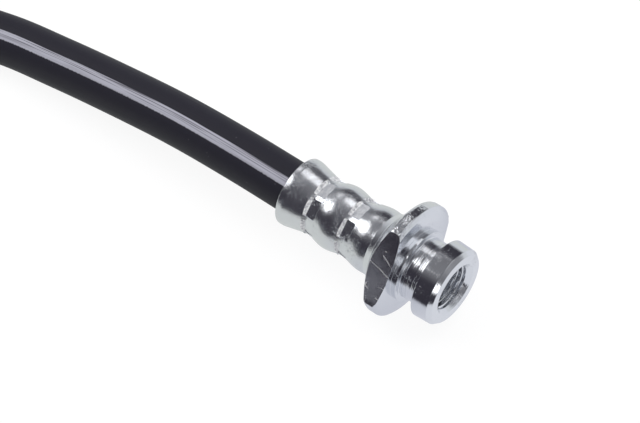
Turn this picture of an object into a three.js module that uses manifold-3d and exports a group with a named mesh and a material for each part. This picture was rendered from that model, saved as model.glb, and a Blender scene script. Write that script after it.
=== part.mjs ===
// Brake hose: a rubber hose with a crimped female end fitting on each end, lying on a flat surface.
// Millimetres, +Z up. The near fitting lies level along X with its mouth towards +X, and the origin is
// on the surface below the middle of it. The hose leaves it towards -X, sinks to the surface and
// turns back in a U, so that the far fitting lies beside the near one.
import * as THREE from 'three';
import { mergeVertices } from 'three/addons/utils/BufferGeometryUtils.js';
import Module from 'manifold-3d';

const wasm = await Module();
wasm.setup();

// Hose
const HOSE_OD = 10.5;
const HOSE_BORE = 3.2;
const HOSE_SIDES = 12;
const HOSE_STEP = 10;
const CLEARANCE = 0.3;

// Fitting, measured along its axis from the end face (0) towards the hose (negative)
const FITTING_LENGTH = 37.8;
const FLANGE_RADIUS = 11.88;
const FLANGE_FRONT = -9.6;
const FLANGE_RIM = [-10.6, -12.2];
const FLAT_DISTANCE = 8.9;
const FLAT_ANGLE = 30;
const HEAD_RADIUS = 8.14;
const HEAD_LENGTH = 4.3;
const HEAD_CHAMFER = 0.85;
const NECK_RADIUS = 6.4;
const COLLAR_RADIUS = 7.5;
const COLLAR_FRONT = -8.4;
const EDGE = 0.15;
const FITTING_SEGMENTS = 24;

// Mouth for an M10 x 1 thread, bored to the thread's minor diameter
const THREAD_MINOR = 9;
const MOUTH_CHAMFER = 0.95;
const BORE_DEPTH = 11;
const SEAT_DEPTH = 1.9;
const PASSAGE = 1.6;

// Socket around the hose end, with the nipple that goes into the hose
const SOCKET_FLOOR = -17;
const SOCKET_SQUEEZED_RADIUS = 5.1;
const SOCKET_TAPER = [-35.2, -33.5];
const NIPPLE_END = -35.5;

// Crimp bands: eight flats each, every band [wall top, wall foot, front edge] along the axis
// and its distances from the axis at the same three places
const CRIMP_SIDES = 8;
const CRIMP_ANGLE = 43;
const CRIMP_BANDS = [
  { at: [-32.15, -31.5, -29.4], distance: [6.1, 5.68, 6.03] },
  { at: [-23.85, -23.15, -21.05], distance: [6.15, 5.75, 6.07] },
];
const CRIMP_CLEAR = 16;

// Barrel outline between the lip and the flange, [along the axis, radius]
const BARREL = [
  [-37.7, 6.8],
  [-37.2, 7.05],
  [-36.4, 7],
  [-34.9, 6.67],
  [-33.4, 6.27],
  [-32.2, 5.99],
  [-31.2, 5.99],
  [-30.2, 6.17],
  [-29.1, 6.5],
  [-27.9, 6.7],
  [-26.8, 6.71],
  [-25.6, 6.52],
  [-23.9, 6.08],
  [-22.9, 6.04],
  [-21.9, 6.18],
  [-20.4, 6.5],
  [-19, 6.72],
  [-16.7, 6.66],
];
const LIP_EDGE_RADIUS = 6.45;
const LIP_MOUTH_CHAMFER = 0.2;

// Rear and front of the flange, [along the axis, radius]
const FLANGE_REAR = [
  [-15.4, 7.5],
  [-14.5, 8.9],
  [-13.4, 10.8],
  [-12.7, 11.6],
];
const FLANGE_NOSE = [
  [-10.1, 11.2],
  [-9.75, 10.2],
  [FLANGE_FRONT, 9],
];

// Route of the hose's centre line, from inside the near socket to inside the far one
const AXIS_HEIGHT = FLANGE_RADIUS;
const NEAR_END_X = FITTING_LENGTH / 2;
const FAR_LIP = [-70, -126.15];
const FAR_ROLL = -30;
const HOSE_END = SOCKET_FLOOR - CLEARANCE;
const ROUTE = [
  [NEAR_END_X + HOSE_END, 0, AXIS_HEIGHT],
  [-9, 0, AXIS_HEIGHT],
  [-19.5, 0, AXIS_HEIGHT],
  [-33.4, 0.1, 11.5],
  [-49, 0.15, 10.4],
  [-64.4, -0.34, 8.8],
  [-79.9, -1.24, 7.1],
  [-94.3, -3, 6],
  [-113.2, -9.4, 5.5],
  [-129.4, -21.9, 5.4],
  [-140.7, -38.9, 5.4],
  [-145.9, -58.7, 5.4],
  [-144.3, -79.1, 5.4],
  [-136.1, -97.9, 6],
  [-122.3, -113, 7.6],
  [-104.3, -122.8, 9.9],
  [-84.1, -126.1, 11.6],
  [-70, FAR_LIP[1], AXIS_HEIGHT],
  [-60, FAR_LIP[1], AXIS_HEIGHT],
  [FAR_LIP[0] + FITTING_LENGTH + HOSE_END, FAR_LIP[1], AXIS_HEIGHT],
];

const zincPlate = new THREE.MeshStandardMaterial({ color: 0xc9cbd0, roughness: 0.22, metalness: 1 });
const rubber = new THREE.MeshStandardMaterial({ color: 0x2f2d33, roughness: 0.6, metalness: 0 });

const degrees = THREE.MathUtils.degToRad;

function toSolid(geometry) {
  const bare = geometry.clone();
  bare.deleteAttribute('normal');
  bare.deleteAttribute('uv');
  const merged = mergeVertices(bare, 1e-4);
  return new wasm.Manifold(new wasm.Mesh({
    numProp: 3,
    vertProperties: new Float32Array(merged.attributes.position.array),
    triVerts: new Uint32Array(merged.index.array),
  }));
}

function toGeometry(solid) {
  const mesh = solid.getMesh();
  const geometry = new THREE.BufferGeometry();
  geometry.setAttribute('position', new THREE.BufferAttribute(mesh.vertProperties, 3));
  geometry.setIndex(new THREE.BufferAttribute(mesh.triVerts, 1));
  geometry.computeVertexNormals();
  return geometry;
}

// Turned solid along X from an outline of [along the axis, radius]
function turned(outline, segments, startAngle = 0) {
  const points = outline.map(([along, radius]) => new THREE.Vector2(radius, along));
  const geometry = new THREE.LatheGeometry(points, segments, degrees(startAngle), 2 * Math.PI);
  geometry.rotateZ(-Math.PI / 2);
  return toSolid(geometry);
}

function outsideOutline() {
  return [
    [-FITTING_LENGTH, LIP_EDGE_RADIUS],
    ...BARREL,
    ...FLANGE_REAR,
    [FLANGE_RIM[1], FLANGE_RADIUS],
    [FLANGE_RIM[0], FLANGE_RADIUS],
    ...FLANGE_NOSE,
    [FLANGE_FRONT, COLLAR_RADIUS],
    [COLLAR_FRONT - EDGE, COLLAR_RADIUS],
    [COLLAR_FRONT, COLLAR_RADIUS - EDGE],
    [COLLAR_FRONT, NECK_RADIUS],
    [-HEAD_LENGTH, NECK_RADIUS],
    [-HEAD_LENGTH, HEAD_RADIUS - EDGE],
    [-HEAD_LENGTH + EDGE, HEAD_RADIUS],
    [-HEAD_CHAMFER, HEAD_RADIUS],
    [0, HEAD_RADIUS - HEAD_CHAMFER],
  ];
}

function insideOutline() {
  const nippleRadius = HOSE_BORE / 2 - CLEARANCE;
  const mouthRadius = HOSE_OD / 2 + CLEARANCE;
  return [
    [0, THREAD_MINOR / 2 + MOUTH_CHAMFER],
    [-MOUTH_CHAMFER, THREAD_MINOR / 2],
    [-BORE_DEPTH, THREAD_MINOR / 2],
    [-BORE_DEPTH - SEAT_DEPTH, PASSAGE / 2],
    [NIPPLE_END, PASSAGE / 2],
    [NIPPLE_END, nippleRadius],
    [SOCKET_FLOOR, nippleRadius],
    [SOCKET_FLOOR, SOCKET_SQUEEZED_RADIUS],
    [SOCKET_TAPER[1], SOCKET_SQUEEZED_RADIUS],
    [SOCKET_TAPER[0], mouthRadius],
    [-FITTING_LENGTH + LIP_MOUTH_CHAMFER, mouthRadius],
    [-FITTING_LENGTH, mouthRadius + LIP_MOUTH_CHAMFER],
    [-FITTING_LENGTH, LIP_EDGE_RADIUS],
  ];
}

// Eight-sided bar that narrows at each crimp band
function crimpedBar() {
  const outline = [[-FITTING_LENGTH - 1, 0], [-FITTING_LENGTH - 1, CRIMP_CLEAR]];
  for (const { at, distance } of CRIMP_BANDS) {
    outline.push([at[0], CRIMP_CLEAR]);
    outline.push([at[0], distance[0]]);
    outline.push([at[1], distance[1]]);
    outline.push([at[2], distance[2]]);
    outline.push([at[2] + EDGE, CRIMP_CLEAR]);
  }
  outline.push([1, CRIMP_CLEAR], [1, 0]);
  const toCorner = 1 / Math.cos(Math.PI / CRIMP_SIDES);
  const corners = outline.map(([along, distance]) => [along, distance * toCorner]);
  return turned(corners, CRIMP_SIDES, 90 - CRIMP_ANGLE + 180 / CRIMP_SIDES);
}

// Box that takes one flat off the flange, its cut face turned to the given angle from -Y up to +Z
function flatCutter(angle) {
  const size = 2 * FLANGE_RADIUS;
  const geometry = new THREE.BoxGeometry(size / 2, size, size);
  geometry.translate(-size / 2, -FLAT_DISTANCE - size / 2, 0);
  geometry.rotateX(-degrees(angle));
  return toSolid(geometry);
}

function fittingSolid() {
  return turned([...outsideOutline(), ...insideOutline()], FITTING_SEGMENTS)
    .intersect(crimpedBar())
    .subtract(flatCutter(FLAT_ANGLE))
    .subtract(flatCutter(FLAT_ANGLE + 180));
}

// Ring outside the squeezed end of the hose, in the fitting's own frame
function squeezeCutter() {
  const squeezed = SOCKET_SQUEEZED_RADIUS - CLEARANCE;
  return turned([
    [SOCKET_TAPER[0], HOSE_OD / 2],
    [SOCKET_TAPER[0], HOSE_OD],
    [SOCKET_FLOOR + 1, HOSE_OD],
    [SOCKET_FLOOR + 1, squeezed],
    [SOCKET_TAPER[1], squeezed],
    [SOCKET_TAPER[0], HOSE_OD / 2],
  ], FITTING_SEGMENTS);
}

function circlePoints(radius) {
  return Array.from({ length: HOSE_SIDES }, (_, k) => {
    const angle = (2 * Math.PI * (k + 0.5)) / HOSE_SIDES;
    return new THREE.Vector2(radius * Math.cos(angle), radius * Math.sin(angle));
  });
}

function hoseSolid(nearPlace, farPlace) {
  const section = new THREE.Shape(circlePoints(HOSE_OD / 2));
  section.holes.push(new THREE.Path(circlePoints(HOSE_BORE / 2)));
  const points = ROUTE.map(([x, y, z]) => new THREE.Vector3(x, y, z));
  const route = new THREE.CatmullRomCurve3(points, false, 'centripetal');
  const steps = Math.round(route.getLength() / HOSE_STEP);
  const tube = new THREE.ExtrudeGeometry(section, { steps, extrudePath: route });
  return toSolid(tube)
    .subtract(squeezeCutter().translate(nearPlace))
    .subtract(squeezeCutter().translate(farPlace));
}

const nearPlace = [NEAR_END_X, 0, AXIS_HEIGHT];
const farPlace = [FAR_LIP[0] + FITTING_LENGTH, FAR_LIP[1], AXIS_HEIGHT];
const fitting = toGeometry(fittingSolid());

const nearFitting = new THREE.Mesh(fitting, zincPlate);
nearFitting.name = 'near_end_fitting';
nearFitting.position.set(...nearPlace);

const farFitting = new THREE.Mesh(fitting.clone(), zincPlate);
farFitting.name = 'far_end_fitting';
farFitting.position.set(...farPlace);
farFitting.rotation.x = -degrees(FAR_ROLL);

const hose = new THREE.Mesh(toGeometry(hoseSolid(nearPlace, farPlace)), rubber);
hose.name = 'hose';

const group = new THREE.Group();
group.add(nearFitting, hose, farFitting);

export default group;
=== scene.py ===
from math import cos, pi, radians, sin, tan

import bpy
from mathutils import Matrix, Vector


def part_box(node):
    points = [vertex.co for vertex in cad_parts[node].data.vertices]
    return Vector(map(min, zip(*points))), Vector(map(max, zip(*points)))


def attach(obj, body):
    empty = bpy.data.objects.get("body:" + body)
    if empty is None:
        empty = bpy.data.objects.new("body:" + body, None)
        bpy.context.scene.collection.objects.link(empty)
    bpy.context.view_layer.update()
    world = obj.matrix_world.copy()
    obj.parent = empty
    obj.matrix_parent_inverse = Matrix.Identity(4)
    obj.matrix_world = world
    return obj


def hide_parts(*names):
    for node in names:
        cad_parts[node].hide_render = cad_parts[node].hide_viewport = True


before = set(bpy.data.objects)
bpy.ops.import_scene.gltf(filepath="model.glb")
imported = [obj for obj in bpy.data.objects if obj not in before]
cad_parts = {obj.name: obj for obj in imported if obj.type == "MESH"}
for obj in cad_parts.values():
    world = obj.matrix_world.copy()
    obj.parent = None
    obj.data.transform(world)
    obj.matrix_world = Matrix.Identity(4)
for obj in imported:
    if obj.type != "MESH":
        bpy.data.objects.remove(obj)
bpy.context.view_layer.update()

# Camera: a long lens that looks down on the near fitting from its mouth's side. It stands about half a
# metre off, and its frame ends before the hose turns back.
CAMERA_PLACE = (0.1986, -0.2620, 0.4246)
CAMERA_TILT = 39.1
CAMERA_TURN = 39.0
CAMERA_LENS = 157.05
CAMERA_SENSOR = 36

bpy.ops.object.select_all(action="DESELECT")
bpy.ops.object.camera_add(
    location=CAMERA_PLACE,
    rotation=(radians(CAMERA_TILT), 0, radians(CAMERA_TURN)),
)
camera = bpy.context.object
camera.name = "camera"
camera.data.sensor_width = CAMERA_SENSOR
camera.data.lens = CAMERA_LENS
camera.data.clip_start = 0.01
bpy.context.scene.camera = camera
bpy.context.scene.view_settings.view_transform = "Standard"

# Near end fitting: one piece of free-cutting steel, turned, drilled and tapped M10 x 1. Its socket is
# crimped round the hose in two bands of eight pockets. The flange seats on a bracket, with two flats
# against turning, and a spring clip goes into the neck behind the head. It is plated with bright zinc.
MM = 0.001

# Outline of the outside, in millimetres along the axis from the end face and from the axis
FITTING_LENGTH = 37.8
LIP_RADIUS = 7.12
LIP_SLOPE = [(-34.3, 6.6, 0), (-33.35, 6.39, 0), (-32.4, 6.18, 0.5)]
BARREL_WAVES = [(-31.4, 6.04), (-27.2, 6.73), (-23, 6.08), (-18.6, 6.74), (-16.8, 6.66)]
WAVE_STEPS = 8
FLANGE_RADIUS = 11.88
FLANGE_RIM = (-12.2, -10.6)
FLANGE_FRONT = -9.6
COLLAR_RADIUS = 7.5
COLLAR_FRONT = -8.4
NECK_RADIUS = 6.4
HEAD_LENGTH = 4.3
HEAD_RADIUS = 8.14
HEAD_CHAMFER = 0.85
HEAD_TAPER = 0.15

# Inside: the tapped mouth, the seat for the pipe's flare, the nipple and the socket around the hose
THREAD_MAJOR = 5.05
THREAD_MINOR = 4.5
THREAD_PITCH = 1.0
THREAD_START = 0.1
THREAD_TURNS = 10
THREAD_STEPS = 48
MOUTH_RADIUS = 5.45
BORE_DEPTH = 11
SEAT_DEPTH = 1.9
PASSAGE = 0.8
NIPPLE_RADIUS = 1.3
NIPPLE_END = -35.5
SOCKET_FLOOR = -17
SOCKET_RADIUS = 5.1
SOCKET_TAPER = (-35.2, -33.5)
SOCKET_MOUTH = 5.55

# Steps round the turned shape, the angles in degrees of a fillet's steps and from which an edge is sharp,
# and the distance in millimetres below which points become one
TURNING_STEPS = 96
FILLET_STEP = 13
SHARP_FROM = 16.5
MERGE_BELOW = 0.001

# Pockets that the crimping dies press in two bands: the steep wall behind, the floor and the ramp in
# front, each corner as its place along the axis and its distance from the axis. They widen outwards.
CRIMP_SIDES = 8
CRIMP_ANGLE = 43
CRIMP_CLEAR = 7.4
CRIMP_WIDTH = 3.7
CRIMP_LEAN = 0.3
CRIMP_EDGE = 0.16
CRIMP_POCKETS = [
    ((-32.85, CRIMP_CLEAR), (-31.85, 5.52), (-29.75, 5.78), (-28.55, CRIMP_CLEAR)),
    ((-24.65, CRIMP_CLEAR), (-23.65, 5.55), (-21.55, 5.82), (-20.35, CRIMP_CLEAR)),
]

# The flange's two milled flats
FLAT_DISTANCE = 8.9
FLAT_ANGLES = (30, 210)
FLAT_EDGE = 0.1


def waved(turns, steps):
    """Outline points on a line that eases from each crest or hollow to the next."""
    points = []
    for (along_a, radius_a), (along_b, radius_b) in zip(turns, turns[1:]):
        for step in range(steps):
            along = along_a + (along_b - along_a) * step / steps
            rise = (1 - cos(pi * step / steps)) / 2
            points.append((along, radius_a + (radius_b - radius_a) * rise, 0))
    return points + [(*turns[-1], 0)]


def rounded(corners):
    """Outline points from corners of (along, radius, fillet), with an arc for each fillet."""
    points = []
    for i, (along, radius, fillet) in enumerate(corners):
        corner = Vector((along, radius))
        if not fillet:
            points.append(corner)
            continue
        before = Vector(corners[i - 1][:2]) - corner
        after = Vector(corners[(i + 1) % len(corners)][:2]) - corner
        half = before.angle(after) / 2
        reach = min(fillet / tan(half), before.length * 0.49, after.length * 0.49)
        middle = corner + (before.normalized() + after.normalized()).normalized() * reach / cos(half)
        start = corner + before.normalized() * reach - middle
        turn = start.angle_signed(corner + after.normalized() * reach - middle)
        steps = max(2, round(abs(turn) / radians(FILLET_STEP)))
        for step in range(steps + 1):
            points.append(middle + Matrix.Rotation(-turn * step / steps, 2) @ start)
    return points


def draw_and_spin(name, outline, steps):
    """A ring turned round the X axis from a closed outline of (along, radius) in millimetres."""
    bpy.ops.object.select_all(action="DESELECT")
    bpy.ops.mesh.primitive_plane_add(size=MM)
    piece = bpy.context.object
    piece.name = name
    bpy.ops.object.mode_set(mode="EDIT")
    bpy.ops.mesh.merge(type="CENTER")
    here = Vector((0, 0, 0))
    for step, (along, radius) in enumerate([*outline, outline[0]]):
        there = Vector((along, -radius, 0)) * MM
        if step == 0:
            bpy.ops.transform.translate(value=there)
        else:
            bpy.ops.mesh.extrude_region_move(TRANSFORM_OT_translate={"value": there - here})
        here = there
    bpy.ops.mesh.select_all(action="SELECT")
    bpy.ops.mesh.remove_doubles(threshold=MERGE_BELOW * MM)
    bpy.ops.mesh.spin(steps=steps, angle=2 * pi, center=(0, 0, 0), axis=(1, 0, 0))
    bpy.ops.mesh.select_all(action="SELECT")
    bpy.ops.mesh.remove_doubles(threshold=MERGE_BELOW * MM)
    bpy.ops.mesh.normals_make_consistent(inside=False)
    bpy.ops.object.mode_set(mode="OBJECT")
    return piece


outside = [
    (-FITTING_LENGTH, LIP_RADIUS, 0.2),
    (-36.6, LIP_RADIUS, 2.2),
    *LIP_SLOPE,
    *waved(BARREL_WAVES, WAVE_STEPS),
    (-15.3, 7.4, 1.2),
    (-12.75, 11.7, 0.5),
    (FLANGE_RIM[0], FLANGE_RADIUS, 0.15),
    (FLANGE_RIM[1], FLANGE_RADIUS, 0.2),
    (-10.05, 11.1, 0.5),
    (FLANGE_FRONT, 9.2, 0.8),
    (FLANGE_FRONT, COLLAR_RADIUS, 0.06),
    (COLLAR_FRONT, COLLAR_RADIUS, 0.12),
    (COLLAR_FRONT, NECK_RADIUS, 0.2),
    (-HEAD_LENGTH, NECK_RADIUS, 0.2),
    (-HEAD_LENGTH, HEAD_RADIUS, 0.1),
    (-HEAD_CHAMFER, HEAD_RADIUS - HEAD_TAPER, 0.08),
    (0, HEAD_RADIUS - HEAD_CHAMFER, 0.12),
]
inside = [
    (0, MOUTH_RADIUS, 0.12),
    (THREAD_MINOR - MOUTH_RADIUS, THREAD_MINOR, 0.1),
    (-BORE_DEPTH, THREAD_MINOR, 0),
    (-BORE_DEPTH - SEAT_DEPTH, PASSAGE, 0),
    (NIPPLE_END, PASSAGE, 0),
    (NIPPLE_END, NIPPLE_RADIUS, 0),
    (SOCKET_FLOOR, NIPPLE_RADIUS, 0),
    (SOCKET_FLOOR, SOCKET_RADIUS, 0),
    (SOCKET_TAPER[1], SOCKET_RADIUS, 0),
    (SOCKET_TAPER[0], SOCKET_MOUTH, 0),
    (-FITTING_LENGTH, SOCKET_MOUTH, 0.15),
]
near_fitting = draw_and_spin("near_fitting", rounded(outside + inside), TURNING_STEPS)

# The crimping dies press a row of eight pockets in each band. The wall behind each pocket, the second
# slot, and a thin line around it are painted pale and dull: a painted highlight where the bright metal
# would mirror light. The third slot only marks the pocket's other faces until they are selected.
zinc = bpy.data.materials.new("zinc-plated steel")
pocket_highlight = bpy.data.materials.new("pale zinc, painted highlight")
for material in (zinc, pocket_highlight, zinc):
    near_fitting.data.materials.append(material)
dies = []
for pocket in CRIMP_POCKETS:
    for side in range(CRIMP_SIDES):
        bpy.ops.object.select_all(action="DESELECT")
        bpy.ops.mesh.primitive_circle_add(vertices=len(pocket), radius=MM, fill_type="NGON")
        die = bpy.context.object
        bpy.ops.object.mode_set(mode="EDIT")
        bpy.ops.mesh.extrude_region_move(TRANSFORM_OT_translate={"value": (0, 0, MM)})
        bpy.ops.object.mode_set(mode="OBJECT")
        for i, vertex in enumerate(die.data.vertices):
            along, distance = pocket[i % len(pocket)]
            half = CRIMP_WIDTH / 2 + (distance - pocket[1][1]) * CRIMP_LEAN
            vertex.co = Vector((along, -distance, half if i < len(pocket) else -half)) * MM
        bpy.ops.object.mode_set(mode="EDIT")
        bpy.ops.mesh.select_all(action="SELECT")
        bpy.ops.mesh.normals_make_consistent(inside=False)
        bpy.ops.object.mode_set(mode="OBJECT")
        for material in (zinc, pocket_highlight, zinc):
            die.data.materials.append(material)
        # The die's faces that point along -X make the pocket's wall behind, which takes the painted
        # highlight
        for face in die.data.polygons:
            face.material_index = 1 if face.normal.x < -0.5 else 2
        die.rotation_euler.x = -radians(CRIMP_ANGLE + side * 360 / CRIMP_SIDES)
        dies.append(die)
bpy.ops.object.select_all(action="DESELECT")
for die in dies:
    die.select_set(True)
bpy.context.view_layer.objects.active = dies[0]
bpy.ops.object.join()
bpy.ops.object.transform_apply(location=False, rotation=True, scale=False)

bpy.ops.object.select_all(action="DESELECT")
near_fitting.select_set(True)
bpy.context.view_layer.objects.active = near_fitting
crimp = near_fitting.modifiers.new("crimp", "BOOLEAN")
crimp.operation = "DIFFERENCE"
crimp.solver = "EXACT"
crimp.object = dies[0]
bpy.ops.object.modifier_apply(modifier=crimp.name)
bpy.data.objects.remove(dies[0])

bpy.context.tool_settings.mesh_select_mode = (False, False, True)
bpy.ops.object.mode_set(mode="EDIT")
bpy.ops.mesh.select_all(action="DESELECT")
bpy.ops.object.mode_set(mode="OBJECT")
for face in near_fitting.data.polygons:
    face.select = face.material_index > 0
    face.material_index %= 2
near_fitting.data.materials.pop(index=2)
bpy.ops.object.mode_set(mode="EDIT")
bpy.ops.mesh.region_to_loop()
# The bevel round each pocket takes the painted highlight as well
bpy.ops.mesh.bevel(offset=CRIMP_EDGE * MM, segments=1, material=1, clamp_overlap=False)
bpy.ops.mesh.select_mode(type="VERT")
bpy.ops.object.mode_set(mode="OBJECT")

# Two flats milled off the flange, their edges just broken
for angle in FLAT_ANGLES:
    flat_facing = Vector((0, -cos(radians(angle)), sin(radians(angle))))
    bpy.ops.object.mode_set(mode="EDIT")
    bpy.ops.mesh.select_all(action="SELECT")
    bpy.ops.mesh.bisect(
        plane_co=flat_facing * FLAT_DISTANCE * MM,
        plane_no=flat_facing,
        use_fill=True,
        clear_outer=True,
        threshold=0.0001 * MM,
    )
    bpy.ops.mesh.bevel(offset=FLAT_EDGE * MM, segments=2)
    bpy.ops.object.mode_set(mode="OBJECT")

# The tapped thread: one groove wound along the bore, cut from its mouth inwards
half_open = THREAD_PITCH * 0.47
clear_of_bore = THREAD_MINOR - 0.05
groove = [(-half_open, clear_of_bore), (0, THREAD_MAJOR), (half_open, clear_of_bore)]
bpy.ops.object.select_all(action="DESELECT")
bpy.ops.mesh.primitive_circle_add(vertices=len(groove), radius=MM)
tap = bpy.context.object
tap.name = "tap"
for vertex, (along, radius) in zip(tap.data.vertices, groove):
    vertex.co = Vector((THREAD_START + along, -radius, 0)) * MM
winding = tap.modifiers.new("winding", "SCREW")
winding.axis = "X"
winding.angle = 2 * pi
winding.screw_offset = -THREAD_PITCH * MM
winding.iterations = THREAD_TURNS
winding.steps = THREAD_STEPS
winding.render_steps = THREAD_STEPS
bpy.ops.object.modifier_apply(modifier=winding.name)
bpy.ops.object.mode_set(mode="EDIT")
bpy.ops.mesh.select_all(action="SELECT")
bpy.ops.mesh.fill_holes(sides=len(groove))
bpy.ops.mesh.select_all(action="SELECT")
bpy.ops.mesh.normals_make_consistent(inside=False)
bpy.ops.object.mode_set(mode="OBJECT")

bpy.ops.object.select_all(action="DESELECT")
near_fitting.select_set(True)
bpy.context.view_layer.objects.active = near_fitting
tapping = near_fitting.modifiers.new("tapping", "BOOLEAN")
tapping.operation = "DIFFERENCE"
tapping.solver = "EXACT"
tapping.object = tap
bpy.ops.object.modifier_apply(modifier=tapping.name)
bpy.data.objects.remove(tap)
bpy.ops.object.shade_smooth_by_angle(angle=radians(SHARP_FROM))
flatness = near_fitting.modifiers.new("flatness", "WEIGHTED_NORMAL")
flatness.keep_sharp = True
bpy.ops.object.modifier_apply(modifier=flatness.name)

# The place on the fitting, from its end face and axis, that the plating's pattern follows
on_fitting = near_fitting.data.attributes.new("on_fitting", "FLOAT_VECTOR", "POINT")
for vertex, entry in zip(near_fitting.data.vertices, on_fitting.data):
    entry.vector = vertex.co


def mouth_place(name):
    """The middle of the end face of a fitting's CAD node."""
    low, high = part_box(name)
    return Vector((high[0], (low[1] + high[1]) / 2, (low[2] + high[2]) / 2))


near_fitting.location = mouth_place("near_end_fitting")
bpy.ops.object.transform_apply(location=True, rotation=False, scale=False)


def linear(hex_colour):
    """Linear RGBA of an sRGB hex colour."""
    levels = [int(hex_colour[i : i + 2], 16) / 255 for i in (1, 3, 5)]
    return (*[c / 12.92 if c <= 0.04045 else ((c + 0.055) / 1.055) ** 2.4 for c in levels], 1)


def add_node(tree, kind, inputs=None, **settings):
    """Adds a node with its settings, and fills its inputs with values or other nodes' outputs."""
    new = tree.nodes.new(kind)
    for name, value in settings.items():
        setattr(new, name, value)
    for name, value in (inputs or {}).items():
        if isinstance(value, bpy.types.NodeSocket):
            tree.links.new(value, new.inputs[name])
        else:
            new.inputs[name].default_value = value
    return new


# Zinc-plated steel: a bright mirror-like coat that keeps the lathe's rings below it, with small specks
# and handling marks. It reflects the white table below and the dark room, so it looks nearly black
# and white, and its rings and specks break the edges between the two.
zinc.use_nodes = True
tree = zinc.node_tree
tree.nodes.clear()
place = add_node(tree, "ShaderNodeAttribute", attribute_name="on_fitting").outputs["Vector"]
flattened = add_node(
    tree, "ShaderNodeVectorMath", {0: place, 1: (0, 1, 1)}, operation="MULTIPLY"
).outputs[0]
radial = add_node(tree, "ShaderNodeVectorMath", {0: flattened}, operation="LENGTH").outputs["Value"]
squeezed = add_node(
    tree, "ShaderNodeVectorMath", {0: place, 1: (1, 0.012, 0.012)}, operation="MULTIPLY"
).outputs[0]
outward = add_node(tree, "ShaderNodeCombineXYZ", {"Y": radial}).outputs[0]
ring_place = add_node(tree, "ShaderNodeVectorMath", {0: squeezed, 1: outward}, operation="ADD").outputs[0]
# Feed marks of the turning tool, 0.3 mm apart where the real ones are 0.1 mm, so that they show
feed_marks = add_node(
    tree,
    "ShaderNodeTexNoise",
    {"Vector": ring_place, "Scale": 1 / (0.32 * MM), "Detail": 1, "Roughness": 0.5},
).outputs["Fac"]
along = add_node(tree, "ShaderNodeSeparateXYZ", {0: place}).outputs["X"]
# They are faint on the flange and the head, plainer on the collar, and deepest in the neck
on_collar = add_node(
    tree,
    "ShaderNodeMapRange",
    {"Value": along, "From Min": -9.5 * MM, "From Max": -9.3 * MM, "To Min": 0.05, "To Max": 0.2},
).outputs[0]
on_neck = add_node(
    tree,
    "ShaderNodeMapRange",
    {"Value": along, "From Min": -8.5 * MM, "From Max": -8.35 * MM, "To Min": 0, "To Max": 0.8},
).outputs[0]
on_head = add_node(
    tree,
    "ShaderNodeMapRange",
    {"Value": along, "From Min": -4.5 * MM, "From Max": -4.3 * MM, "To Min": 0, "To Max": 0.88},
).outputs[0]
ring_depth = add_node(tree, "ShaderNodeMath", {0: on_collar, 1: on_neck}, operation="ADD").outputs[0]
ring_depth = add_node(tree, "ShaderNodeMath", {0: ring_depth, 1: on_head}, operation="SUBTRACT").outputs[0]
ring_bump = add_node(
    tree,
    "ShaderNodeBump",
    {"Height": feed_marks, "Strength": ring_depth, "Distance": 0.1 * MM},
).outputs["Normal"]
# The flange's rim is rougher: it kept the bar's skin and some knocks
knocks = add_node(
    tree,
    "ShaderNodeTexNoise",
    {"Vector": place, "Scale": 1 / (0.55 * MM), "Detail": 1, "Roughness": 0.6},
).outputs["Fac"]
on_rim = add_node(
    tree,
    "ShaderNodeMapRange",
    {"Value": radial, "From Min": 11.2 * MM, "From Max": 11.7 * MM},
).outputs[0]
rim_bump = add_node(
    tree,
    "ShaderNodeBump",
    {"Height": knocks, "Normal": ring_bump, "Strength": on_rim, "Distance": 0.08 * MM},
).outputs["Normal"]
# A fine grain roughens it all, less on the milled flats and on all that lies before the flange
flat_side = add_node(
    tree,
    "ShaderNodeVectorMath",
    {0: place, 1: (0, -cos(radians(FLAT_ANGLES[0])), sin(radians(FLAT_ANGLES[0])))},
    operation="DOT_PRODUCT",
).outputs["Value"]
flat_side = add_node(tree, "ShaderNodeMath", {0: flat_side}, operation="ABSOLUTE").outputs[0]
on_flat = add_node(
    tree,
    "ShaderNodeMath",
    {0: flat_side, 1: FLAT_DISTANCE * MM, 2: 0.03 * MM},
    operation="COMPARE",
).outputs[0]
before_flange = add_node(
    tree, "ShaderNodeMapRange", {"Value": on_collar, "From Min": 0.05, "From Max": 0.2, "To Max": 0.7}
).outputs[0]
smooth = add_node(tree, "ShaderNodeMath", {0: on_flat, 1: before_flange}, operation="MAXIMUM").outputs[0]
grain_depth = add_node(
    tree, "ShaderNodeMath", {0: smooth, 1: -0.55, 2: 0.65}, operation="MULTIPLY_ADD"
).outputs[0]
grain = add_node(
    tree,
    "ShaderNodeTexNoise",
    {"Vector": place, "Scale": 1 / (1.3 * MM), "Detail": 5, "Roughness": 0.62},
).outputs["Fac"]
grain_bump = add_node(
    tree,
    "ShaderNodeBump",
    {"Height": grain, "Normal": rim_bump, "Strength": grain_depth, "Distance": 0.08 * MM},
).outputs["Normal"]
# Specks of rough plating, in clusters: 0.27 mm apart where the real ones are finer, so that they show
specks = add_node(
    tree,
    "ShaderNodeTexNoise",
    {"Vector": place, "Scale": 1 / (0.27 * MM), "Detail": 2, "Roughness": 0.6},
).outputs["Fac"]
clusters = add_node(
    tree,
    "ShaderNodeTexNoise",
    {"Vector": place, "Scale": 1 / (5 * MM), "Detail": 2},
).outputs["Fac"]
start = add_node(
    tree,
    "ShaderNodeMapRange",
    {"Value": clusters, "From Min": 0.48, "From Max": 0.7, "To Min": 0.73, "To Max": 0.52},
).outputs[0]
specks = add_node(tree, "ShaderNodeMath", {0: specks, 1: start}, operation="SUBTRACT").outputs[0]
specks = add_node(
    tree, "ShaderNodeMapRange", {"Value": specks, "From Min": 0, "From Max": 0.2}
).outputs[0]
speck_bump = add_node(
    tree,
    "ShaderNodeBump",
    {"Height": specks, "Normal": grain_bump, "Strength": 1, "Distance": 0.07 * MM},
).outputs["Normal"]
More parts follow.
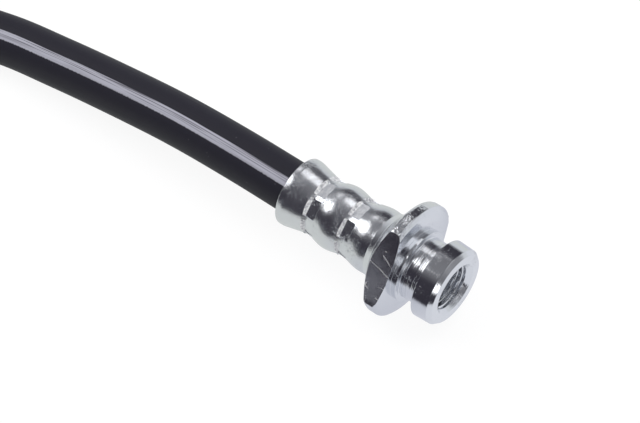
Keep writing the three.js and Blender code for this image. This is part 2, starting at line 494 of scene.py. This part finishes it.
# A few hair-fine scratches from handling show on the milled flats. The flats' darker colour is painted
# shade.
scratched = add_node(
    tree, "ShaderNodeVectorMath", {0: place, 1: (0.22, 1, 0.8)}, operation="MULTIPLY"
).outputs[0]
scratched = add_node(
    tree, "ShaderNodeTexNoise", {"Vector": scratched, "Scale": 1 / (2.6 * MM), "Detail": 0}
).outputs["Fac"]
cuts = add_node(
    tree, "ShaderNodeMath", {0: scratched, 1: 0.5, 2: 0.008}, operation="COMPARE"
).outputs[0]
in_part = add_node(
    tree, "ShaderNodeTexNoise", {"Vector": place, "Scale": 1 / (3.5 * MM), "Detail": 1}
).outputs["Fac"]
in_part = add_node(tree, "ShaderNodeMath", {0: in_part, 1: 0.48}, operation="GREATER_THAN").outputs[0]
cuts = add_node(tree, "ShaderNodeMath", {0: cuts, 1: in_part}, operation="MULTIPLY").outputs[0]
cuts = add_node(tree, "ShaderNodeMath", {0: cuts, 1: on_flat}, operation="MULTIPLY").outputs[0]
# Painted shade: the milled flats get a darker colour, for the darker room they mirror
metal = add_node(
    tree,
    "ShaderNodeMix",
    {0: on_flat, 6: linear("#e2e4e8"), 7: linear("#bebdc3")},
    data_type="RGBA",
).outputs[2]
metal = add_node(
    tree, "ShaderNodeMix", {0: cuts, 6: metal, 7: linear("#ffffff")}, data_type="RGBA"
).outputs[2]
shine = add_node(
    tree,
    "ShaderNodeMapRange",
    {"Value": grain, "From Min": 0.3, "From Max": 0.7, "To Min": 0.09, "To Max": 0.16},
).outputs[0]
on_barrel = add_node(
    tree,
    "ShaderNodeMapRange",
    {"Value": along, "From Min": -13.5 * MM, "From Max": -18 * MM, "To Max": 0.1},
).outputs[0]
shine = add_node(tree, "ShaderNodeMath", {0: shine, 1: on_barrel}, operation="ADD").outputs[0]
shine = add_node(tree, "ShaderNodeMath", {0: cuts, 1: 0.75, 2: shine}, operation="MULTIPLY_ADD").outputs[0]
surface = add_node(
    tree,
    "ShaderNodeBsdfPrincipled",
    {"Base Color": metal, "Metallic": 1, "Roughness": shine, "Normal": speck_bump},
).outputs[0]
add_node(tree, "ShaderNodeOutputMaterial", {"Surface": surface})

# Pale zinc for the pockets' walls and edges: a painted highlight, dull and paler than the rest, with
# streaks along the fitting
pocket_highlight.use_nodes = True
tree = pocket_highlight.node_tree
tree.nodes.clear()
place = add_node(tree, "ShaderNodeAttribute", attribute_name="on_fitting").outputs["Vector"]
streaked_place = add_node(
    tree, "ShaderNodeVectorMath", {0: place, 1: (0.3, 1, 1)}, operation="MULTIPLY"
).outputs[0]
marks = add_node(
    tree,
    "ShaderNodeTexNoise",
    {"Vector": streaked_place, "Scale": 1 / (0.35 * MM), "Detail": 3, "Roughness": 0.6},
).outputs["Fac"]
streak_share = add_node(
    tree,
    "ShaderNodeMapRange",
    {"Value": marks, "From Min": 0.4, "From Max": 0.56, "To Min": 0.1, "To Max": 1},
).outputs[0]
pale = add_node(
    tree,
    "ShaderNodeMix",
    {0: streak_share, 6: linear("#a6a6ae"), 7: linear("#ffffff")},
    data_type="RGBA",
).outputs[2]
surface = add_node(
    tree,
    "ShaderNodeBsdfPrincipled",
    {"Base Color": pale, "Metallic": 0.1, "Roughness": 0.4},
).outputs[0]
add_node(tree, "ShaderNodeOutputMaterial", {"Surface": surface})

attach(near_fitting, "root")
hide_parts("near_end_fitting")

# Far end fitting: the same piece on the hose's other end, rolled a little as a real hose's ends are,
# so that it rests on its flange's rim beside the near one.
FAR_ROLL = -30

bpy.ops.object.select_all(action="DESELECT")
near_fitting.select_set(True)
bpy.context.view_layer.objects.active = near_fitting
bpy.ops.object.duplicate()
far_fitting = bpy.context.object
far_fitting.name = "far_fitting"
far_roll = Matrix.Rotation(-radians(FAR_ROLL), 3, "X")
far_fitting.rotation_euler.x = -radians(FAR_ROLL)
far_fitting.location = mouth_place("far_end_fitting") - far_roll @ mouth_place("near_end_fitting")
bpy.ops.object.transform_apply(location=True, rotation=True, scale=False)

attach(far_fitting, "root")
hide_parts("far_end_fitting")

# Hose: extruded EPDM rubber over braid, 10.5 mm across, with a pale grey stripe printed along it on
# either side, so that a twist shows. Both ends are squeezed into the fittings' sockets.
HOSE_DIAMETER = 0.0105
SQUEEZED = 0.935
HOSE_SIDES = 28

# The stripe's place as a share of the way round, its width and its streaks' width in millimetres, what
# share of their length that is, and in metres how often the far side's stripe has a gap, and how long
STRIPE_AT = 0.129
STRIPE_WIDTH = 1.95
STREAK_WIDTH = 0.19
STREAK_STRETCH = 0.012
STRIPE_REPEAT = 0.03
STRIPE_GAP = 0.011

# The route, in metres
HOSE_ROUTE = [
    (0.0016, 0, 0.01188),
    (-0.009, 0, 0.01188),
    (-0.0195, 0, 0.01188),
    (-0.0334, 0.0001, 0.0115),
    (-0.049, 0.00015, 0.0104),
    (-0.0644, -0.00034, 0.0088),
    (-0.0799, -0.00124, 0.0071),
    (-0.0943, -0.003, 0.006),
    (-0.1132, -0.0094, 0.0055),
    (-0.1294, -0.0219, 0.0054),
    (-0.1407, -0.0389, 0.0054),
    (-0.1459, -0.0587, 0.0054),
    (-0.1443, -0.0791, 0.0054),
    (-0.1361, -0.0979, 0.006),
    (-0.1223, -0.113, 0.0076),
    (-0.1043, -0.1228, 0.0099),
    (-0.0841, -0.1261, 0.0116),
    (-0.07, -0.12615, 0.01188),
    (-0.06, -0.12615, 0.01188),
    (-0.0495, -0.12615, 0.01188),
]

bpy.ops.object.select_all(action="DESELECT")
bpy.ops.curve.primitive_bezier_curve_add()
hose = bpy.context.object
hose.name = "brake_hose"
line = hose.data.splines[0]
line.bezier_points.add(len(HOSE_ROUTE) - len(line.bezier_points))
route = [Vector(point) for point in HOSE_ROUTE]
route = [2 * route[0] - route[1], *route, 2 * route[-1] - route[-2]]
for knot, before, here, after in zip(line.bezier_points, route, route[1:], route[2:]):
    # A centripetal Catmull-Rom curve's tangent, in time that goes with the root of the distance
    time_in = (here - before).length ** 0.5
    time_out = (after - here).length ** 0.5
    speed = (here - before) / time_in - (after - before) / (time_in + time_out) + (after - here) / time_out
    knot.handle_left_type = "FREE"
    knot.handle_right_type = "FREE"
    knot.co = here
    knot.handle_left = here - speed * time_in / 3
    knot.handle_right = here + speed * time_out / 3
for knot in (*line.bezier_points[:2], *line.bezier_points[-2:]):
    knot.radius = SQUEEZED
hose.data.twist_mode = "Z_UP"
hose.data.resolution_u = 12
hose.data.bevel_depth = HOSE_DIAMETER / 2
hose.data.bevel_resolution = HOSE_SIDES // 2 - 2
hose.data.use_fill_caps = True
bpy.ops.object.convert(target="MESH")

# The UV map runs in metres along the hose's rings of vertices, of which the first two are its caps, and
# once round it from just above the side that faces -Y
ring_count = len(hose.data.vertices) // HOSE_SIDES
middles = []
for ring in range(ring_count):
    corners = hose.data.vertices[ring * HOSE_SIDES : (ring + 1) * HOSE_SIDES]
    middles.append(sum((corner.co for corner in corners), Vector()) / HOSE_SIDES)
reached = [0]
for before, after in zip(middles, middles[1:]):
    reached.append(reached[-1] + (after - before).length)
hose_map = hose.data.uv_layers["UVMap"].data
for loop, entry in zip(hose.data.loops, hose_map):
    entry.uv.x = reached[loop.vertex_index // HOSE_SIDES]
bpy.ops.object.mode_set(mode="EDIT")
bpy.ops.mesh.select_all(action="SELECT")
bpy.ops.mesh.remove_doubles(threshold=MERGE_BELOW * MM)
bpy.ops.mesh.normals_make_consistent(inside=False)
bpy.ops.object.mode_set(mode="OBJECT")
bpy.ops.object.shade_smooth_by_angle(angle=radians(50))

# EPDM rubber: extruded, so it is dull black with a faint gloss and hair-thin lines along it. The print
# is a thin pale grey film that shows the print wheel's streaks in its upper half.
rubber = bpy.data.materials.new("EPDM rubber")
rubber.use_nodes = True
tree = rubber.node_tree
tree.nodes.clear()
hose_place = add_node(tree, "ShaderNodeUVMap", uv_map="UVMap").outputs["UV"]
split = add_node(tree, "ShaderNodeSeparateXYZ", {0: hose_place}).outputs
lengthways, round_share = split["X"], split["Y"]
# Millimetres across the nearer stripe, upwards on the near side
turned = add_node(
    tree, "ShaderNodeMath", {0: round_share, 1: 2, 2: 0.5 - 2 * STRIPE_AT}, operation="MULTIPLY_ADD"
).outputs[0]
wrapped = add_node(tree, "ShaderNodeMath", {0: turned, 1: 1}, operation="FLOORED_MODULO").outputs[0]
across = add_node(
    tree,
    "ShaderNodeMapRange",
    {"Value": wrapped, "To Min": -pi * HOSE_DIAMETER / 4 / MM, "To Max": pi * HOSE_DIAMETER / 4 / MM},
    clamp=False,
).outputs[0]
# Streaks run along the hose, in the rubber and in the print, wider than the real ones so that they show
drawn_out = add_node(
    tree, "ShaderNodeMath", {0: lengthways, 1: STREAK_STRETCH / MM}, operation="MULTIPLY"
).outputs[0]
lines_place = add_node(tree, "ShaderNodeCombineXYZ", {"X": drawn_out, "Y": across}).outputs[0]
streaks = add_node(
    tree,
    "ShaderNodeTexNoise",
    {"Vector": lines_place, "Scale": 1 / STREAK_WIDTH, "Detail": 1, "Roughness": 0.5},
).outputs["Fac"]
# The print's lower edge frays every half millimetre
fray_place = add_node(tree, "ShaderNodeMath", {0: lengthways, 1: 2 / MM}, operation="MULTIPLY").outputs[0]
fray = add_node(
    tree,
    "ShaderNodeTexNoise",
    {"W": fray_place, "Scale": 1, "Detail": 3, "Roughness": 0.6},
    noise_dimensions="1D",
).outputs["Fac"]
frayed = add_node(
    tree, "ShaderNodeMath", {0: fray, 1: 0.3, 2: -STRIPE_WIDTH / 2 - 0.1}, operation="MULTIPLY_ADD"
).outputs[0]
above_edge = add_node(tree, "ShaderNodeMath", {0: across, 1: frayed}, operation="SUBTRACT").outputs[0]
lower = add_node(
    tree, "ShaderNodeMapRange", {"Value": above_edge, "From Min": -0.05, "From Max": 0.13}
).outputs[0]
upper = add_node(
    tree,
    "ShaderNodeMapRange",
    {"Value": across, "From Min": STRIPE_WIDTH / 2 + 0.04, "From Max": STRIPE_WIDTH / 2 - 0.04},
).outputs[0]
printed = add_node(tree, "ShaderNodeMath", {0: lower, 1: upper}, operation="MULTIPLY").outputs[0]
# The far side's stripe has bare gaps, where a hose carries its print
far_side = add_node(
    tree, "ShaderNodeMath", {0: round_share, 1: STRIPE_AT + 0.5, 2: 0.25}, operation="COMPARE"
).outputs[0]
repeat = add_node(
    tree, "ShaderNodeMath", {0: lengthways, 1: STRIPE_REPEAT}, operation="FLOORED_MODULO"
).outputs[0]
in_gap = add_node(
    tree, "ShaderNodeMath", {0: repeat, 1: STRIPE_GAP}, operation="LESS_THAN"
).outputs[0]
bare = add_node(tree, "ShaderNodeMath", {0: far_side, 1: in_gap}, operation="MULTIPLY").outputs[0]
printed = add_node(
    tree, "ShaderNodeMath", {0: printed, 1: bare}, operation="SUBTRACT", use_clamp=True
).outputs[0]
# Darker streaks in the stripe's upper half
in_upper_half = add_node(
    tree, "ShaderNodeMapRange", {"Value": across, "From Min": -0.45, "From Max": 0.1, "To Min": 0.25}
).outputs[0]
thin = add_node(
    tree, "ShaderNodeMapRange", {"Value": streaks, "From Min": 0.52, "From Max": 0.4}
).outputs[0]
thin = add_node(tree, "ShaderNodeMath", {0: thin, 1: in_upper_half}, operation="MULTIPLY").outputs[0]
ink = add_node(
    tree,
    "ShaderNodeMix",
    {0: thin, 6: linear("#b0b0bb"), 7: linear("#686770")},
    data_type="RGBA",
).outputs[2]
# Dust: a few pale specks on the rubber
on_hose = add_node(tree, "ShaderNodeTexCoord").outputs["Object"]
dust = add_node(
    tree, "ShaderNodeTexVoronoi", {"Vector": on_hose, "Scale": 1 / (2.5 * MM)}
).outputs["Distance"]
dust = add_node(tree, "ShaderNodeMath", {0: dust, 1: 0.035}, operation="LESS_THAN").outputs[0]
dust = add_node(tree, "ShaderNodeMath", {0: dust, 1: 0.35}, operation="MULTIPLY").outputs[0]
black = add_node(
    tree,
    "ShaderNodeMix",
    {0: dust, 6: linear("#27262f"), 7: linear("#8c8b90")},
    data_type="RGBA",
).outputs[2]
colour = add_node(
    tree, "ShaderNodeMix", {0: printed, 6: black, 7: ink}, data_type="RGBA"
).outputs[2]
gloss = add_node(
    tree,
    "ShaderNodeMapRange",
    {"Value": streaks, "From Min": 0.3, "From Max": 0.7, "To Min": 0.5, "To Max": 0.58},
).outputs[0]
extrusion_bump = add_node(
    tree,
    "ShaderNodeBump",
    {"Height": streaks, "Strength": 0.25, "Distance": 0.01 * MM},
).outputs["Normal"]
surface = add_node(
    tree,
    "ShaderNodeBsdfPrincipled",
    {"Base Color": colour, "Roughness": gloss, "Specular IOR Level": 0.22, "Normal": extrusion_bump},
).outputs[0]
add_node(tree, "ShaderNodeOutputMaterial", {"Surface": surface})
hose.data.materials.clear()
hose.data.materials.append(rubber)

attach(hose, "root")
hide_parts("hose")

# Table: a white sweep of painted board. It is bright enough for the camera to see it as plain white,
# and it keeps a faint shadow. The edges of the painted shade that metal mirrors are given by the way they
# face and their distance in metres.
MIRRORED_SHADE_EDGES = [((0.68, -0.73, 0), 0.024), ((0, -1, 0), 0.031)]
EDGE_BLUR = 0.007

bpy.ops.object.select_all(action="DESELECT")
bpy.ops.mesh.primitive_plane_add(size=6)
table = bpy.context.object
table.name = "table"
white = bpy.data.materials.new("white painted board")
white.use_nodes = True
tree = white.node_tree
tree.nodes.clear()
paint = add_node(tree, "ShaderNodeBsdfDiffuse", {"Color": linear("#e9e9ea")}).outputs[0]
glow = add_node(tree, "ShaderNodeEmission", {"Color": (1, 1, 1, 1), "Strength": 1.06}).outputs[0]
# The camera sees mostly the glow, and the rest of what it sees is the paint, which takes the shadow
ray = add_node(tree, "ShaderNodeLightPath").outputs
seen = add_node(
    tree, "ShaderNodeMath", {0: ray["Is Camera Ray"], 1: 0.86}, operation="MULTIPLY"
).outputs[0]
mirrored = add_node(
    tree,
    "ShaderNodeMath",
    {0: ray["Is Glossy Ray"], 1: ray["Is Transmission Ray"]},
    operation="MAXIMUM",
).outputs[0]
# Bright metal mirrors the board as painted light up to two front edges, and as painted shade past both
board_place = add_node(tree, "ShaderNodeTexCoord").outputs["Object"]
in_mirrored_shade = 1
for forward, edge in MIRRORED_SHADE_EDGES:
    reach = add_node(
        tree, "ShaderNodeVectorMath", {0: board_place, 1: forward}, operation="DOT_PRODUCT"
    ).outputs["Value"]
    past = add_node(
        tree,
        "ShaderNodeMapRange",
        {"Value": reach, "From Min": edge - EDGE_BLUR, "From Max": edge + EDGE_BLUR},
        interpolation_type="SMOOTHSTEP",
    ).outputs[0]
    in_mirrored_shade = add_node(tree, "ShaderNodeMath", {0: in_mirrored_shade, 1: past}, operation="MULTIPLY").outputs[0]
# Painted light in the board as metal mirrors it: a little cooler on the mouth's side, and brightest past
# the mouth
mouth_x = add_node(tree, "ShaderNodeSeparateXYZ", {0: board_place}).outputs["X"]
mouth_side = add_node(
    tree, "ShaderNodeMapRange", {"Value": mouth_x, "From Min": -0.012, "From Max": 0.006}
).outputs[0]
mirrored_light = add_node(
    tree,
    "ShaderNodeMix",
    {0: mouth_side, 6: linear("#dbdedc"), 7: linear("#cfd1da")},
    data_type="RGBA",
).outputs[2]
past_mouth = add_node(
    tree, "ShaderNodeMapRange", {"Value": mouth_x, "From Min": 0.008, "From Max": 0.022}
).outputs[0]
mirrored_light = add_node(
    tree,
    "ShaderNodeMix",
    {0: past_mouth, 6: mirrored_light, 7: linear("#e6e8ee")},
    data_type="RGBA",
).outputs[2]
board = add_node(
    tree,
    "ShaderNodeMix",
    {0: in_mirrored_shade, 6: mirrored_light, 7: linear("#3a3840")},
    data_type="RGBA",
).outputs[2]
# This glow is seen only in metal and glass: painted light, and painted shade past the edges
mirror_glow = add_node(tree, "ShaderNodeEmission", {"Color": board, "Strength": 1}).outputs[0]
in_metal = add_node(tree, "ShaderNodeMixShader", {0: mirrored, 1: paint, 2: mirror_glow}).outputs[0]
surface = add_node(tree, "ShaderNodeMixShader", {0: seen, 1: in_metal, 2: glow}).outputs[0]
add_node(tree, "ShaderNodeOutputMaterial", {"Surface": surface})
table.data.materials.append(white)

# Studio: softboxes on the hose's side, behind, in the corner between them and low in front past the
# mouth, and a wide fill overhead that metal doesn't mirror. The room is dim, and darkest in front.
LAMP_DISTANCE = 0.9


def towards(azimuth, height):
    """Unit vector to a place in the room. Azimuth 0 is +Y and 90 is +X, and height is above the horizon."""
    level = cos(radians(height))
    return Vector((sin(radians(azimuth)) * level, cos(radians(azimuth)) * level, sin(radians(height))))


def softbox(name, place, width, depth, brightness):
    """A flat lamp that faces the fitting from LAMP_DISTANCE; brightness 1 is white."""
    bpy.ops.object.select_all(action="DESELECT")
    bpy.ops.object.light_add(type="AREA", location=towards(*place) * LAMP_DISTANCE)
    lamp = bpy.context.object
    lamp.name = name
    lamp.rotation_euler = towards(*place).to_track_quat("Z", "Y").to_euler()
    lamp.data.shape = "RECTANGLE"
    lamp.data.size = width
    lamp.data.size_y = depth
    lamp.data.energy = brightness * pi * width * depth
    return lamp


softbox("softbox_left", (-111, 49), width=0.56, depth=0.44, brightness=2.3)
softbox("softbox_back", (0, 60), width=0.24, depth=0.4, brightness=1.4)
softbox("softbox_corner", (-45, 50), width=0.24, depth=0.24, brightness=0.9)
softbox("softbox_right", (124, 13), width=0.24, depth=0.28, brightness=1.7)
fill = softbox("fill_overhead", (0, 90), width=1, depth=1, brightness=1.8)
fill.visible_glossy = False

room = bpy.data.worlds.new("studio room")
bpy.context.scene.world = room
room.use_nodes = True
tree = room.node_tree
tree.nodes.clear()
direction = add_node(tree, "ShaderNodeTexCoord").outputs["Generated"]
# Each lit stretch of the room: where it is, how far it spreads in degrees, its colour and its strength
LIT_STRETCHES = [
    ((-100, 62), 50, "#eceef0", 0.2),
    ((-70, 28), 42, "#eceef0", 0.18),
    ((45, 30), 55, "#eceef0", 0.28),
    ((105, 10), 50, "#eceef0", 0.18),
    ((142, 6), 40, "#eceef0", 0.2),
    ((60, 62), 24, "#eceef0", 1.3),
    ((150, 38), 18, "#eceef0", 1),
]
room_light = linear("#3c3a42")
for place, spread, colour, strength in LIT_STRETCHES:
    nearness = add_node(
        tree, "ShaderNodeVectorMath", {0: direction, 1: towards(*place)}, operation="DOT_PRODUCT"
    ).outputs["Value"]
    share = add_node(
        tree,
        "ShaderNodeMapRange",
        {"Value": nearness, "From Min": cos(radians(spread)), "From Max": 1, "To Max": strength},
        interpolation_type="SMOOTHSTEP",
    ).outputs[0]
    room_light = add_node(
        tree,
        "ShaderNodeMix",
        {0: share, 6: room_light, 7: linear(colour)},
        data_type="RGBA",
        blend_type="ADD",
    ).outputs[2]
# The white sweep rises behind the hose to some 12 degrees above the horizon
split = add_node(tree, "ShaderNodeSeparateXYZ", {0: direction}).outputs
low = add_node(
    tree,
    "ShaderNodeMapRange",
    {"Value": split["Z"], "From Min": sin(radians(20)), "From Max": sin(radians(8))},
    interpolation_type="SMOOTHSTEP",
).outputs[0]
behind = add_node(
    tree,
    "ShaderNodeMapRange",
    {"Value": split["Y"], "From Min": -0.1, "From Max": 0.35},
    interpolation_type="SMOOTHSTEP",
).outputs[0]
sweep = add_node(tree, "ShaderNodeMath", {0: low, 1: behind}, operation="MULTIPLY").outputs[0]
room_light = add_node(
    tree, "ShaderNodeMix", {0: sweep, 6: room_light, 7: linear("#dcdfe2")}, data_type="RGBA"
).outputs[2]
dim = add_node(tree, "ShaderNodeBackground", {"Color": room_light, "Strength": 1}).outputs[0]
bright = add_node(tree, "ShaderNodeBackground", {"Color": (1, 1, 1, 1), "Strength": 1}).outputs[0]
ray = add_node(tree, "ShaderNodeLightPath").outputs
shown = add_node(tree, "ShaderNodeMixShader", {0: ray["Is Camera Ray"], 1: dim, 2: bright}).outputs[0]
add_node(tree, "ShaderNodeOutputWorld", {"Surface": shown})
